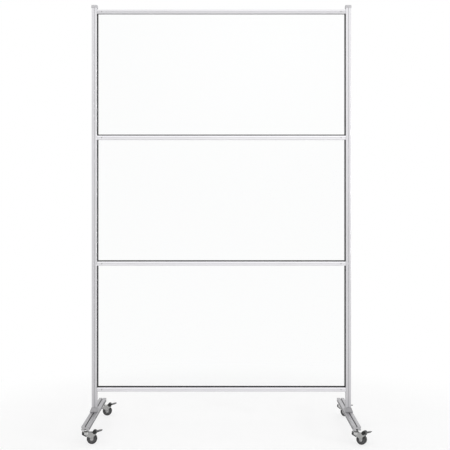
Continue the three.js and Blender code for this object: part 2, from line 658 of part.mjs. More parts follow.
// The brake housing's lip: an upturned edge that goes round the front of the fork's head.
function guardLip() {
  const inner = FORK_HEAD_RADIUS + GUARD_LIP_GAP;
  const outer = inner + GUARD_LIP_THICKNESS;
  const floor = FORK_TOP - FORK_HEAD_DEPTH - GUARD_LIP_GAP;
  const low = floor - GUARD_LIP_THICKNESS;
  const dish = rod("z", outer, low, FORK_TOP + GUARD_LIP_RISE, ORIGIN, WHEEL_SEGMENTS);
  const well = rod("z", inner, floor, FORK_TOP + OVERRUN, ORIGIN, WHEEL_SEGMENTS);
  const front = box([-outer - OVERRUN, -outer, 0], [-FORK_NOSE - RUNNING_GAP, outer, CASTER_HEIGHT]);
  return { low, nose: (inner + outer) / 2, lip: cut(dish, well).intersect(front) };
}

// The black brake housing between the fork's legs, hollowed round the wheel.
function guardGeometry() {
  const top = FORK_UNDERSIDE - FIT;
  const { low, nose, lip } = guardLip();
  const shape = new THREE.Shape();
  shape.moveTo(-nose, top);
  shape.lineTo(-nose, low);
  const [start, end] = guardArcShares.map((share) => share * Math.PI);
  const radius = WHEEL_RADIUS + GUARD_TYRE_GAP;
  const startX = CASTER_TRAIL + radius * Math.cos(start);
  shape.lineTo(startX - GUARD_TYRE_GAP, WHEEL_RADIUS + radius * Math.sin(start));
  shape.absarc(CASTER_TRAIL, WHEEL_RADIUS, radius, start, end, true);
  shape.lineTo(FORK_HEAD_REACH - RUNNING_GAP, top);
  shape.closePath();
  const body = across(shape, 2 * (FORK_INNER - GUARD_SIDE_GAP), CURVE_SEGMENTS);
  const pocketLow = FORK_UNDERSIDE - FIT - STEM_HEAD_HEIGHT - RUNNING_GAP;
  const pocket = rod("z", STEM_HEAD_RADIUS + RUNNING_GAP, pocketLow, FORK_TOP, ORIGIN);
  return geometryOf(join(cut(body, pocket), lip));
}

// Spins a profile of [radius, place along the axle] points about the axle, with a flat at the bottom.
function spunWheel(points, segments) {
  const profile = points.map(([radius, along]) => new THREE.Vector2(radius, along));
  return new THREE.LatheGeometry(profile, segments, Math.PI / segments).translate(...WHEEL_CENTRE);
}

function tyreGeometry() {
  const half = TYRE_WIDTH / 2;
  const shoulder = half - TYRE_EDGE_RADIUS;
  const edge = (side) =>
    Array.from({ length: ARC_SEGMENTS + 1 }, (_, i) => {
      const angle = (i / ARC_SEGMENTS) * (Math.PI / 2);
      const sweep = side < 0 ? angle : Math.PI / 2 - angle;
      return [
        WHEEL_RADIUS - TYRE_EDGE_RADIUS + TYRE_EDGE_RADIUS * Math.sin(sweep),
        side * (shoulder + TYRE_EDGE_RADIUS * Math.cos(sweep)),
      ];
    });
  const inner = TYRE_BORE + FIT;
  return spunWheel([[inner, -half], ...edge(-1), ...edge(1), [inner, half], [inner, -half]], WHEEL_SEGMENTS);
}

function hubGeometry() {
  const bore = AXLE_RADIUS + FIT;
  const rim = TYRE_WIDTH / 2 - HUB_RIM_STEP;
  const web = HUB_WEB / 2;
  const boss = FORK_INNER - RUNNING_GAP;
  const rimInner = TYRE_BORE - HUB_RIM_THICKNESS;
  const bossStep = HUB_BOSS_RADIUS + HUB_RIM_THICKNESS;
  const half = [
    [bore, boss],
    [HUB_BOSS_RADIUS, boss],
    [bossStep, web],
    [rimInner, web],
    [rimInner, rim],
    [TYRE_BORE, rim],
  ];
  const mirrored = half.map(([radius, along]) => [radius, -along]);
  return spunWheel([...mirrored, ...half.reverse(), mirrored[0]], ROUND_SEGMENTS);
}

// The axle is a bolt with its nut outside the fork.
function axleGeometry() {
  const inner = FORK_OUTER + FIT;
  const outer = inner + AXLE_HEAD_HEIGHT;
  const shank = rod("y", AXLE_RADIUS, -inner - AXLE_HEAD_HEIGHT / 2, outer + AXLE_TIP, WHEEL_CENTRE);
  const head = rod("y", AXLE_HEAD_RADIUS, -outer, -inner, WHEEL_CENTRE);
  const nut = rod("y", AXLE_HEAD_RADIUS, inner, outer, WHEEL_CENTRE, HEX);
  return geometryOf(join(shank, head, nut));
}

// The pedal's side view: a lever that rises from its head to a lipped tip.
function leverShape() {
  const shape = new THREE.Shape();
  const low = PEDAL_PIVOT_HEIGHT - PEDAL_HEAD_RADIUS / 2;
  const tipTop = PEDAL_TIP_HEIGHT;
  const blade = tipTop - PEDAL_TIP_LIP;
  shape.moveTo(PEDAL_PIVOT_REACH, low);
  shape.lineTo(PEDAL_PIVOT_REACH + PEDAL_HEAD_RADIUS, low);
  shape.lineTo(PEDAL_REACH - PEDAL_TIP_LIP, blade - PEDAL_THICKNESS);
  shape.lineTo(PEDAL_REACH, blade - PEDAL_THICKNESS / 2);
  shape.lineTo(PEDAL_REACH, tipTop);
  shape.lineTo(PEDAL_REACH - 2 * PEDAL_TIP_LIP, tipTop);
  shape.lineTo(PEDAL_REACH - 2 * PEDAL_THICKNESS, blade);
  shape.lineTo(PEDAL_PIVOT_REACH + PEDAL_HEAD_RADIUS, low + PEDAL_THICKNESS + PEDAL_TIP_LIP);
  shape.lineTo(PEDAL_PIVOT_REACH, PEDAL_PIVOT_HEIGHT + PEDAL_HEAD_RADIUS / 2);
  shape.closePath();
  return shape;
}

// The pedal's plan: narrow between the fork's legs, then a wider tread with rounded corners.
function treadShape() {
  const neck = FORK_INNER - RUNNING_GAP;
  const half = PEDAL_WIDTH / 2;
  const start = FORK_TAIL + PEDAL_TREAD_GAP;
  const corner = PEDAL_CORNER;
  const shape = new THREE.Shape();
  shape.moveTo(0, -neck);
  shape.lineTo(start, -neck);
  shape.lineTo(start + corner, -half);
  shape.lineTo(PEDAL_REACH - corner, -half);
  shape.absarc(PEDAL_REACH - corner, -half + corner, corner, -Math.PI / 2, 0, false);
  shape.absarc(PEDAL_REACH - corner, half - corner, corner, 0, Math.PI / 2, false);
  shape.lineTo(start + corner, half);
  shape.lineTo(start, neck);
  shape.lineTo(0, neck);
  shape.closePath();
  return shape;
}

// The pedal's round head turns in the fork's ears on trunnions, which end in round cheeks outside the fork.
function pedalGeometry() {
  const neck = FORK_INNER - RUNNING_GAP;
  const cheekInner = FORK_OUTER + RUNNING_GAP;
  const cheekOuter = cheekInner + PEDAL_CHEEK_THICKNESS;
  const lever = across(leverShape(), PEDAL_WIDTH).intersect(upright(treadShape(), 0, CASTER_HEIGHT));
  const head = rod("y", PEDAL_HEAD_RADIUS, -neck, neck, PEDAL_PIVOT);
  const middle = (cheekInner + cheekOuter) / 2;
  const trunnions = rod("y", PEDAL_TRUNNION_RADIUS, -middle, middle, PEDAL_PIVOT);
  const cheeks = [
    rod("y", PEDAL_CHEEK_RADIUS, -cheekOuter, -cheekInner, PEDAL_PIVOT),
    rod("y", PEDAL_CHEEK_RADIUS, cheekInner, cheekOuter, PEDAL_PIVOT),
  ];
  return geometryOf(join(lever, head, trunnions, ...cheeks));
}

// A named mesh with its own material.
function mesh(name, geometry, material) {
  const made = new THREE.Mesh(geometry, material());
  made.name = name;
  return made;
}

function place(object, x, y, z) {
  object.position.set(x, y, z);
  return object;
}

function buildPosts() {
  const group = new THREE.Group();
  for (const [word, side] of [["left", -1], ["right", 1]]) {
    group.add(place(mesh(`${word}_post`, postGeometry(side), ANODISED), side * POST_CENTRE, 0, 0));
    group.add(place(mesh(`${word}_post_cap`, capGeometry(side), CAP_PLASTIC), side * POST_CENTRE, 0, 0));
  }
  return group;
}

function buildRails() {
  const group = new THREE.Group();
  ["bottom", "lower", "upper", "top"].forEach((word, i) => {
    const rail = place(new THREE.Group(), 0, 0, railCentre(i));
    const left = mesh(`${word}_rail_left_connector`, connectorGeometry(), CAST);
    left.rotation.z = Math.PI;
    rail.add(mesh(`${word}_rail`, railGeometry(), ANODISED), left);
    rail.add(mesh(`${word}_rail_right_connector`, connectorGeometry(), CAST));
    group.add(rail);
  });
  return group;
}

function buildPanes() {
  const group = new THREE.Group();
  ["bottom", "middle", "top"].forEach((word, i) => {
    group.add(mesh(`${word}_glass_panel`, paneGeometry(paneFloors[i]), CLEAR_GLASS));
    group.add(mesh(`${word}_pane_gasket`, gasketGeometry(paneFloors[i]), RUBBER));
  });
  return group;
}

function buildFoot(word, side) {
  const foot = place(new THREE.Group(), side * POST_CENTRE, 0, 0);
  const frontCap = mesh(`${word}_foot_front_cap`, endCapGeometry(), CAP_PLASTIC);
  frontCap.rotation.z = Math.PI;
  foot.add(mesh(`${word}_foot`, footGeometry(), ANODISED), frontCap);
  foot.add(mesh(`${word}_foot_rear_cap`, endCapGeometry(), CAP_PLASTIC));
  foot.add(mesh(`${word}_foot_bracket`, bracketGeometry(side), CAST));
  foot.add(mesh(`${word}_foot_bolt`, footBoltGeometry(), STEEL));
  return foot;
}

function buildCaster(name, side, end, turn) {
  const caster = place(new THREE.Group(), side * POST_CENTRE, end * CASTER_Y, 0);
  caster.add(mesh(`${name}_swivel_stem`, stemGeometry(), ZINC));
  const swivel = new THREE.Group();
  swivel.rotation.z = THREE.MathUtils.degToRad(turn);
  swivel.add(mesh(`${name}_fork`, forkGeometry(), ZINC));
  swivel.add(mesh(`${name}_brake_housing`, guardGeometry(), BLACK_PLASTIC));
  swivel.add(mesh(`${name}_brake_pedal`, pedalGeometry(), BLACK_PLASTIC));
  swivel.add(mesh(`${name}_axle`, axleGeometry(), STEEL));
  swivel.add(mesh(`${name}_tyre`, tyreGeometry(), TYRE_RUBBER));
  swivel.add(mesh(`${name}_wheel_hub`, hubGeometry(), HUB_PLASTIC));
  caster.add(swivel);
  return caster;
}

const barrier = place(new THREE.Group(), FRAME_SHIFT_X, FRAME_SHIFT_Y, 0);
barrier.add(buildPosts(), buildRails(), buildPanes(), buildFoot("left", -1), buildFoot("right", 1));
barrier.add(buildCaster("front_left", -1, -1, FRONT_LEFT_TURN));
barrier.add(buildCaster("front_right", 1, -1, FRONT_RIGHT_TURN));
barrier.add(buildCaster("rear_left", -1, 1, REAR_LEFT_TURN));
barrier.add(buildCaster("rear_right", 1, 1, REAR_RIGHT_TURN));

export default barrier;
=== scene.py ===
# The looks of a mobile glass barrier panel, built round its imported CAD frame.
# Metres in the frame's own axes: +X is the viewer's right, +Y is away from the viewer and +Z is up. The sizes
# of pieces are named in millimetres, and those of the studio in metres.
import json
import math

import bmesh
import bpy
from mathutils import Matrix, Vector

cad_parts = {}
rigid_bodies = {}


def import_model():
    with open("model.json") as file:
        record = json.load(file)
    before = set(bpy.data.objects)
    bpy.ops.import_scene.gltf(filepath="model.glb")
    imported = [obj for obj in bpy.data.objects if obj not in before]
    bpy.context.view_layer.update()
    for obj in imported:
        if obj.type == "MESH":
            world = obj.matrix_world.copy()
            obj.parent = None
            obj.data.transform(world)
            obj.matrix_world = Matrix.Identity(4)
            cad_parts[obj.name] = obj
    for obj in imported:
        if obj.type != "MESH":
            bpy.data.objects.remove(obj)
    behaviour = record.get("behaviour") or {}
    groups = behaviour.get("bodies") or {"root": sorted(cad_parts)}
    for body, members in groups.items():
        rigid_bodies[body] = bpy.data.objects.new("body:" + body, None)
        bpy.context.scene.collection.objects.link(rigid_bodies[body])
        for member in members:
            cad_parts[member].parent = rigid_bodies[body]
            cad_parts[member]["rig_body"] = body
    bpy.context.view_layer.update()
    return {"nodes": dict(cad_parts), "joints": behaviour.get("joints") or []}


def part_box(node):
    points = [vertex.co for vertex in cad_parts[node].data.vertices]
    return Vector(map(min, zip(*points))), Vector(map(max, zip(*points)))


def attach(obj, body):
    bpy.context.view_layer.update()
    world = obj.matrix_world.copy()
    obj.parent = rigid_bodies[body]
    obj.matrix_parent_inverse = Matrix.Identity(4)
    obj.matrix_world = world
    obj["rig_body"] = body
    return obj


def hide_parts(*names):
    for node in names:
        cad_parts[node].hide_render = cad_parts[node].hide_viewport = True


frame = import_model()
nodes = frame["nodes"]
joints = {joint["name"]: joint for joint in frame["joints"]}

MM = 0.001
UP = Vector((0, 0, 1))
X = 0
Y = 1
Z = 2
SIDES = ("left", "right")
RAILS = ("bottom", "lower", "upper", "top")
PANES = ("bottom", "middle", "top")
CASTERS = ("front_left", "front_right", "rear_left", "rear_right")

# Shader nodes.

EVEN = (1, 1, 1)
FINE_DETAIL = 3
BROAD_DETAIL = 4

# Nearly all values of a noise pattern lie between these two.
NOISE_LOW = 0.3
NOISE_HIGH = 0.7


def add_node(tree, kind, inputs=None, **settings):
    made = tree.nodes.new(kind)
    for name, value in settings.items():
        setattr(made, name, value)
    for key, value in (inputs or {}).items():
        if isinstance(value, bpy.types.NodeSocket):
            tree.links.new(value, made.inputs[key])
        else:
            made.inputs[key].default_value = value
    return made


def new_material(name):
    """A new material, with its node tree and its shader."""
    made = bpy.data.materials.new(name)
    made.use_nodes = True
    return made, made.node_tree, made.node_tree.nodes["Principled BSDF"]


def noise(tree, size, stretch=EVEN, detail=FINE_DETAIL):
    """A noise pattern of about that size in metres, drawn out along the axes where stretch is above 1."""
    place = tree.nodes.get("place") or add_node(tree, "ShaderNodeTexCoord", name="place")
    scale = [1 / (size * share) for share in stretch]
    mapped = add_node(tree, "ShaderNodeMapping", {"Vector": place.outputs["Object"], "Scale": scale})
    pattern = {"Vector": mapped.outputs["Vector"], "Scale": 1, "Detail": detail}
    return add_node(tree, "ShaderNodeTexNoise", pattern).outputs["Fac"]


def spread(tree, value, low, high):
    """Takes a noise value to the range from low to high."""
    inputs = {"Value": value, "From Min": NOISE_LOW, "From Max": NOISE_HIGH, "To Min": low, "To Max": high}
    return add_node(tree, "ShaderNodeMapRange", inputs).outputs["Result"]


def blend_colours(tree, factor, low, high):
    mixed = add_node(tree, "ShaderNodeMix", data_type="RGBA")
    tree.links.new(factor, mixed.inputs["Factor"])
    for socket, colour in (("A", low), ("B", high)):
        target = next(entry for entry in mixed.inputs if entry.name == socket and entry.type == "RGBA")
        target.default_value = (*colour, 1)
    return next(entry for entry in mixed.outputs if entry.type == "RGBA")


def paint_shade_below(tree, colour, share):
    """Paints shade into a colour: it falls off towards the lower edge of its piece, to that share of itself.
    """
    place = tree.nodes["place"].outputs["Generated"]
    height = add_node(tree, "ShaderNodeSeparateXYZ", {0: place}).outputs["Z"]
    tone = add_node(tree, "ShaderNodeMapRange", {"Value": height, "To Min": share, "To Max": 1})
    inputs = {0: colour, "Scale": tone.outputs["Result"]}
    return add_node(tree, "ShaderNodeVectorMath", inputs, operation="SCALE").outputs["Vector"]


# Materials. Tones and roughnesses are pairs that the noise runs between.

NEUTRAL = (1, 1, 1)
COOL = (0.998, 0.989, 1.018)
WARM = (1.002, 1.0, 0.985)
METAL = 1.0
PLAIN_SPECULAR = 0.5
SATIN = (0.30, 0.40)
DULL = (0.40, 0.52)

# How much of a post's colour is left at its lower end, where shade is painted in.
POST_PAINTED_SHADE_SHARE = 0.84

# The drawn lines of an extrusion: how many times longer than wide they are.
LINE_STRETCH = 60

# The glass: its colour, and a polish that is a little uneven over this many millimetres.
GLASS_COLOUR = (0.972, 0.976, 0.975, 1)
GLASS_IOR = 1.5
GLASS_ROUGHNESS = (0.0, 0.012)
GLASS_BLOTCH = 220


def grey(value, tint=NEUTRAL):
    return tuple(value * share for share in tint)


def finish(name, tones, roughness, grain, blotch, relief, tint=NEUTRAL, stretch=EVEN, metallic=0.0,
           specular=PLAIN_SPECULAR, painted_shade_share=1):
    """A material with two tones of colour and of roughness: fine grain over broad blotches. Grain, blotch
    and relief are sizes in millimetres, stretch draws the grain out, and the painted shade share is what
    is left of the colour at the lower edge of the piece, where shade is painted in."""
    made, tree, shader = new_material(name)
    fine = noise(tree, grain * MM, stretch)
    broad = noise(tree, blotch * MM, detail=BROAD_DETAIL)
    both = add_node(tree, "ShaderNodeMix", {"Factor": 0.5, "A": fine, "B": broad}).outputs["Result"]
    colour = blend_colours(tree, spread(tree, both, 0, 1), *[grey(tone, tint) for tone in tones])
    if painted_shade_share != 1:
        colour = paint_shade_below(tree, colour, painted_shade_share)
    tree.links.new(colour, shader.inputs["Base Color"])
    tree.links.new(spread(tree, both, *roughness), shader.inputs["Roughness"])
    bump = add_node(tree, "ShaderNodeBump", {"Height": fine, "Strength": 1, "Distance": relief * MM})
    tree.links.new(bump.outputs["Normal"], shader.inputs["Normal"])
    shader.inputs["Metallic"].default_value = metallic
    shader.inputs["Specular IOR Level"].default_value = specular
    return made


def anodised(name, length_axis, tones, roughness=SATIN, painted_shade_share=1):
    """Satin aluminium, with fine lines along the extrusion."""
    stretch = [LINE_STRETCH if axis == length_axis else 1 for axis in (X, Y, Z)]
    return finish(name, tones, roughness, grain=0.5, blotch=160, relief=0.003, tint=COOL, stretch=stretch,
                  metallic=METAL, painted_shade_share=painted_shade_share)


def clear_glass():
    made, tree, shader = new_material("clear_glass_look")
    shader.inputs["Base Color"].default_value = GLASS_COLOUR
    shader.inputs["Transmission Weight"].default_value = 1
    shader.inputs["IOR"].default_value = GLASS_IOR
    polish = spread(tree, noise(tree, GLASS_BLOTCH * MM), *GLASS_ROUGHNESS)
    tree.links.new(polish, shader.inputs["Roughness"])
    return made


# The posts and rails darken towards their lower edges: painted shade, where less light falls.
POST_SHADED_BELOW_METAL = anodised("post_shaded_below_aluminium", Z, (0.67, 0.73), painted_shade_share=POST_PAINTED_SHADE_SHARE)
RAIL_SHADED_BELOW_METAL = anodised("rail_shaded_below_aluminium", X, (0.88, 0.93), painted_shade_share=0.79)
# The top rail is the rails' aluminium, painted darker all over and more so below: painted shade.
TOP_RAIL_SHADED_METAL = anodised("top_rail_painted_shade_aluminium", X, (0.75, 0.81), painted_shade_share=0.68)
FOOT_METAL = anodised("foot_aluminium", Y, (0.38, 0.45), DULL)
# The faces inside the grooves and slots get darker copies of the metal: painted shade in the recesses.
POST_GROOVE_SHADE_METAL = anodised("post_groove_painted_shade", Z, (0.43, 0.49), DULL, POST_PAINTED_SHADE_SHARE)
RAIL_GROOVE_SHADE_METAL = anodised("rail_groove_painted_shade", X, (0.62, 0.68), DULL)
FOOT_SLOT_SHADE_METAL = anodised("foot_slot_painted_shade", Y, (0.16, 0.22), (0.45, 0.60))
CAST_METAL = finish("cast_aluminium_look", (0.33, 0.40), (0.42, 0.55),
                    grain=0.5, blotch=30, relief=0.03, tint=COOL, metallic=METAL)
GLASS = clear_glass()
GASKET = finish("gasket_rubber_look", (0.012, 0.022), (0.6, 0.8),
                grain=0.8, blotch=90, relief=0.02, specular=0.25)
POST_CAP_PLASTIC = finish("post_cap_plastic_look", (0.55, 0.63), (0.42, 0.56),
                          grain=0.35, blotch=25, relief=0.02, tint=COOL)
FOOT_CAP_PLASTIC = finish("foot_cap_plastic_look", (0.40, 0.47), (0.42, 0.56),
                          grain=0.35, blotch=25, relief=0.02, tint=COOL)
ZINC = finish("zinc_look", (0.33, 0.42), (0.18, 0.30),
              grain=1.2, blotch=14, relief=0.01, tint=WARM, metallic=METAL)
# A lighter copy of the zinc for the fork's drawn head and the stem's race: a painted highlight.
ZINC_PAINTED_HIGHLIGHT = finish("zinc_painted_highlight_look", (0.52, 0.62), (0.14, 0.26),
                     grain=1.2, blotch=14, relief=0.01, tint=WARM, metallic=METAL)
STEEL = finish("steel_look", (0.30, 0.42), (0.28, 0.42),
               grain=0.3, blotch=8, relief=0.01, metallic=METAL)
# The T-bolt's steel is darkened to stand for the shade in the foot's slot: painted shade.
STEEL_PAINTED_SHADE = finish("steel_painted_shade_look", (0.04, 0.08), (0.30, 0.45),
                    grain=0.3, blotch=8, relief=0.01, metallic=METAL)
BLACK_PLASTIC = finish("black_plastic_look", (0.010, 0.018), (0.38, 0.52),
                       grain=0.3, blotch=12, relief=0.02, specular=0.35)
LEVER_PLASTIC = finish("lever_plastic_look", (0.09, 0.13), (0.34, 0.48),
                       grain=0.3, blotch=12, relief=0.02)
HUB_PLASTIC = finish("hub_plastic_look", (0.12, 0.17), (0.4, 0.55),
                     grain=0.4, blotch=10, relief=0.02, tint=COOL)
TYRE = finish("tyre_rubber_look", (0.030, 0.052), (0.50, 0.68),
              grain=0.5, blotch=9, relief=0.03, specular=0.4)

# Meshes. Outlines and sizes are in millimetres, and angles are in degrees.

WELD_DISTANCE = 0.002
FLAT_ANGLE = 0.4
SHARP_ANGLE = 50
SMOOTH_ANGLE = 38
STRAIGHT_ANGLE = 178
ROUND_PROFILE = 0.5
FOLD_STEPS = 4

# The largest share of a side that the round of one corner may take.
CORNER_SHARE = 0.49


def add_piece(name, bm, material, body, matrix=None, replaced=None, smooth_angle=SMOOTH_ANGLE):
    """Makes a shaded object from a bmesh, and says what it rides on, is made of and stands in for."""
    bmesh.ops.recalc_face_normals(bm, faces=bm.faces)
    for face in bm.faces:
        face.smooth = True
    for edge in bm.edges:
        edge.smooth = len(edge.link_faces) == 2 and edge.calc_face_angle() < math.radians(smooth_angle)
    if matrix is not None:
        bm.transform(matrix)
    mesh = bpy.data.meshes.new(name)
    bm.to_mesh(mesh)
    bm.free()
    mesh.materials.append(material)
    made = bpy.data.objects.new(name, mesh)
    bpy.context.scene.collection.objects.link(made)
    weighted = made.modifiers.new("weighted_normals", "WEIGHTED_NORMAL")
    weighted.keep_sharp = True
    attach(made, body)
    if replaced:
        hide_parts(replaced)
    return made


def body_of(node):
    return nodes[node]["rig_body"]


def stand_in(node, ending, bm, material, matrix=None, smooth_angle=SMOOTH_ANGLE):
    """Adds a piece in place of a CAD node, on the same body."""
    name = f"{node}_{ending}"
    return add_piece(name, bm, material, body_of(node), matrix, node, smooth_angle)


def round_edges(bm, edges, radius, steps):
    bmesh.ops.bevel(bm, geom=edges, offset=radius * MM, segments=steps, profile=ROUND_PROFILE,
                    affect="EDGES", clamp_overlap=True)


def is_sharp(edge):
    return len(edge.link_faces) == 2 and edge.calc_face_angle() > math.radians(SHARP_ANGLE)


def soften(node, material, radius, steps=2, fold=None, second=None):
    """Stands a finely edged copy in for a CAD node: its sharp edges get a small radius. Fold is a test for
    edges and the radius that these get first. Second is another material and the test for the faces that get
    it."""
    bm = bmesh.new()
    bm.from_mesh(nodes[node].data)
    bmesh.ops.remove_doubles(bm, verts=bm.verts, dist=WELD_DISTANCE * MM)
    bmesh.ops.dissolve_limit(bm, angle_limit=math.radians(FLAT_ANGLE), verts=bm.verts, edges=bm.edges)
    if fold:
        is_folded, fold_radius = fold
        round_edges(bm, [edge for edge in bm.edges if is_folded(edge)], fold_radius, FOLD_STEPS)
    round_edges(bm, [edge for edge in bm.edges if is_sharp(edge)], radius, steps)
    if second:
        other_material, is_other = second
        for face in bm.faces:
            face.material_index = int(is_other(face))
    made = stand_in(node, "finished", bm, material)
    if second:
        made.data.materials.append(other_material)


def rounded(points, radius, steps=4):
    """Rounds the corners of a closed outline. A point may carry a radius of its own as its third number."""
    made = []
    count = len(points)
    for index, point in enumerate(points):
        corner = Vector(point[:2])
        wanted = point[2] if len(point) > 2 else radius
        before = Vector(points[index - 1][:2]) - corner
        after = Vector(points[(index + 1) % count][:2]) - corner
        angle = before.angle(after)
        if wanted == 0 or angle > math.radians(STRAIGHT_ANGLE):
            made.append(corner)
            continue
        longest = CORNER_SHARE * min(before.length, after.length)
        reach = min(wanted / math.tan(angle / 2), longest)
        start = corner + before.normalized() * reach
        end = corner + after.normalized() * reach
        for step in range(steps + 1):
            share = step / steps
            made.append(start.lerp(corner, share).lerp(corner.lerp(end, share), share))
    return made


def rectangle(left, right, low, high):
    return [(left, low), (right, low), (right, high), (left, high)]


def rod(radius, low, high):
    """The open outline of a plain cylinder, from its axis back to its axis."""
    return [(0, low), (radius, low), (radius, high), (0, high)]


def hexagon(across_flats):
    corner = across_flats / math.sqrt(3)
    return [(corner * math.cos(math.pi * k / 3), corner * math.sin(math.pi * k / 3)) for k in range(6)]


def mirrored(side):
    """The same outline on the other side of the wheel's middle."""
    return [(radius, -along, *rest) for radius, along, *rest in side]


def in_turn(ring):
    """Pairs each entry of a closed ring with the one after it."""
    return zip(ring, ring[1:] + ring[:1])


def bridge(bm, ring, following):
    """Joins two closed rings of points with a band of faces."""
    for (here, ahead), (there, beyond) in zip(in_turn(ring), in_turn(following)):
        bm.faces.new((here, ahead, beyond, there))


def beside(axis, along, first=0, second=0):
    """An offset along an axis, and to the two sides of it."""
    parts = [first, second]
    parts.insert(axis, along)
    return Vector(parts)


def make_rings(bm, outline, segments, centre, axis):
    """Turns an outline of (radius, place along the axis) about an axis, as one ring of points a segment."""
    rings = []
    for segment in range(segments):
        angle = 2 * math.pi * segment / segments
        ring = []
        for radius, along in outline:
            offset = beside(axis, along, radius * math.cos(angle), radius * math.sin(angle))
            ring.append(bm.verts.new((centre + offset) * MM))
        rings.append(ring)
    return rings


def spin(bm, outline, segments, centre, axis):
    """Turns a closed outline into a ring."""
    for ring, following in in_turn(make_rings(bm, outline, segments, centre, axis)):
        bridge(bm, ring, following)


def turned(bm, outline, segments, centre, axis):
    """Turns an open outline whose first and last points lie on the axis."""
    tips = [bm.verts.new((centre + beside(axis, along)) * MM) for _, along in (outline[0], outline[-1])]
    for ring, following in in_turn(make_rings(bm, outline[1:-1], segments, centre, axis)):
        bm.faces.new((tips[0], ring[0], following[0]))
        bm.faces.new((tips[1], following[-1], ring[-1]))
        for index in range(len(ring) - 1):
            bm.faces.new((ring[index], ring[index + 1], following[index + 1], following[index]))


def prism(bm, outline, low, high, place):
    """Extrudes a closed outline from low to high. Place turns (x, y, height) into a point in millimetres."""
    bottom = [bm.verts.new(Vector(place(x, y, low)) * MM) for x, y in outline]
    top = [bm.verts.new(Vector(place(x, y, high)) * MM) for x, y in outline]
    bm.faces.new(bottom)
    bm.faces.new(top)
    bridge(bm, bottom, top)


def upright(x, y, height):
    return (x, y, height)


def loft(bm, sections):
    """Joins rings of points, in millimetres, and closes both ends."""
    rings = [[bm.verts.new(Vector(point) * MM) for point in section] for section in sections]
    for ring, following in zip(rings, rings[1:]):
        bridge(bm, ring, following)
    bm.faces.new(rings[0])
    bm.faces.new(rings[-1])


# Casters. Each is built in its own axes: +X trails from the swivel pin to the axle, Y is along the axle and
# the floor is at 0. All sizes are in millimetres. The points of a turned outline are (radius, place along the
# axis, the corner's own radius where it has one).

WHEEL_SEGMENTS = 96
ROUND_SEGMENTS = 48
SWIVEL_PIN = Vector((0, 0, 0))
WHEEL_CENTRE = Vector((26, 0, 23))
PEDAL_PIVOT = Vector((38.6, 0, 53.5))

# The fork: folded from sheet, with a round head drawn up in its top, lightened by a painted highlight.
FORK_HALF_WIDTH = 12.2
FORK_TOP = 51.8
FORK_EDGE = 0.35
FOLD_RADIUS = 1.6
FOLD_TOLERANCE = 0.05
DRAWN_HEAD_LOW = 42.9
DRAWN_HEAD_RADIUS = 16.5

HOUSING_EDGE = 0.7

# The tyre: a groove with sloping sides in each wall, and a fine seam round the middle of the tread.
TYRE_RADIUS = 22.91
TYRE_BORE = 17.2
TYRE_HALF_WIDTH = 8.5
TYRE_BORE_EDGE = 0.4
TYRE_EDGE = 0.2
WALL_GROOVE_START = 18.6
WALL_GROOVE_END = 19.8
WALL_GROOVE_SLOPE = 0.3
WALL_GROOVE_DEPTH = 0.5
SHOULDER_DROP = 0.5
SHOULDER_RADIUS = 3.6
SEAM_HALF_WIDTH = 0.45
SEAM_DEPTH = 0.18
SEAM_EDGE = 0.1
SEAM_FLOOR_RADIUS = 0.05
TYRE_SMOOTH_ANGLE = 50

# The hub: one side of its section, from the bore over the boss and the web to the rim, and its ribs.
HUB_SIDE = [(3.3, 9.6), (6.3, 9.6), (7.2, 2.5, 0.9), (14.4, 2.5, 0.9), (14.9, 7.0), (16.95, 7.0)]
HUB_EDGE = 0.35
HUB_RIBS = 6
HUB_RIB_START = 6
HUB_RIB_END = 14.8
HUB_RIB_HALF_LENGTH = 5.6
HUB_RIB_HALF_WIDTH = 0.9
HUB_RIB_EDGE = 0.3

# The axle: a bolt from its domed head to its bevelled end. The spans run outwards from the fork's side.
AXLE_BOLT = [
    (0, -16.2), (2.4, -16.1), (4.2, -15.4), (5.2, -14.2), (5.4, -13.2), (5.4, -12.5), (3, -12.5),
    (3, 16.0), (2.6, 16.4), (0, 16.4),
]
AXLE_RING_BORE = 3.05
WASHER_RADIUS = 6
WASHER_SPAN = (0.3, 0.9)
WASHER_EDGE = 0.15
NUT_FLATS = 8
NUT_SPAN = (0.9, 3.2)
NUT_EDGE = 0.5
COLLAR_RADIUS = 3.9
COLLAR_SPAN = (3.1, 3.6)
COLLAR_EDGE = 0.2

# The swivel stem: the riveted pin and the upper race in one outline from below, and the spans of the rest.
RACE = [
    (0, 46.5), (3.6, 46.5), (6.0, 47.2), (7.0, 48.4), (7.0, 49.4), (4, 49.5), (4, 52.1), (15.3, 52.1),
    (15.6, 52.4), (15.6, 53.4), (15.2, 54.2), (13.9, 54.9), (11, 55.9), (9.0, 56.6), (7.6, 57.1), (0, 57.1),
]
STEM_HEX_FLATS = 13
STEM_HEX_SPAN = (57.0, 63.7)
STUD_RADIUS = 4
STUD_SPAN = (63, 66.2)
T_HEAD_HALF_WIDTH = 7.1
T_HEAD_SPAN = (66.1, 70.7)
STEM_EDGE = 0.8

# The brake lever's stations from the head to the tip: place, height, thickness and half width.
LEVER_STATIONS = [
    (36.0, 53.2, 12.0, 8.6), (40.0, 53.4, 12.4, 9.4), (44.0, 53.9, 10.2, 9.6), (47.5, 54.8, 8.0, 9.6),
    (50.5, 55.6, 6.8, 10.8), (54.0, 56.7, 6.0, 12.2), (58.0, 57.9, 5.3, 12.9), (62.0, 58.9, 4.8, 13.0),
    (66.0, 59.7, 4.3, 12.4), (69.0, 60.3, 3.8, 10.8), (71.0, 60.8, 3.0, 8.2), (71.9, 61.0, 1.8, 5.8),
]
LEVER_LARGEST_EDGE = 2.2
LEVER_EDGE_SHARE = 0.96
LEVER_SMOOTH_ANGLE = 60

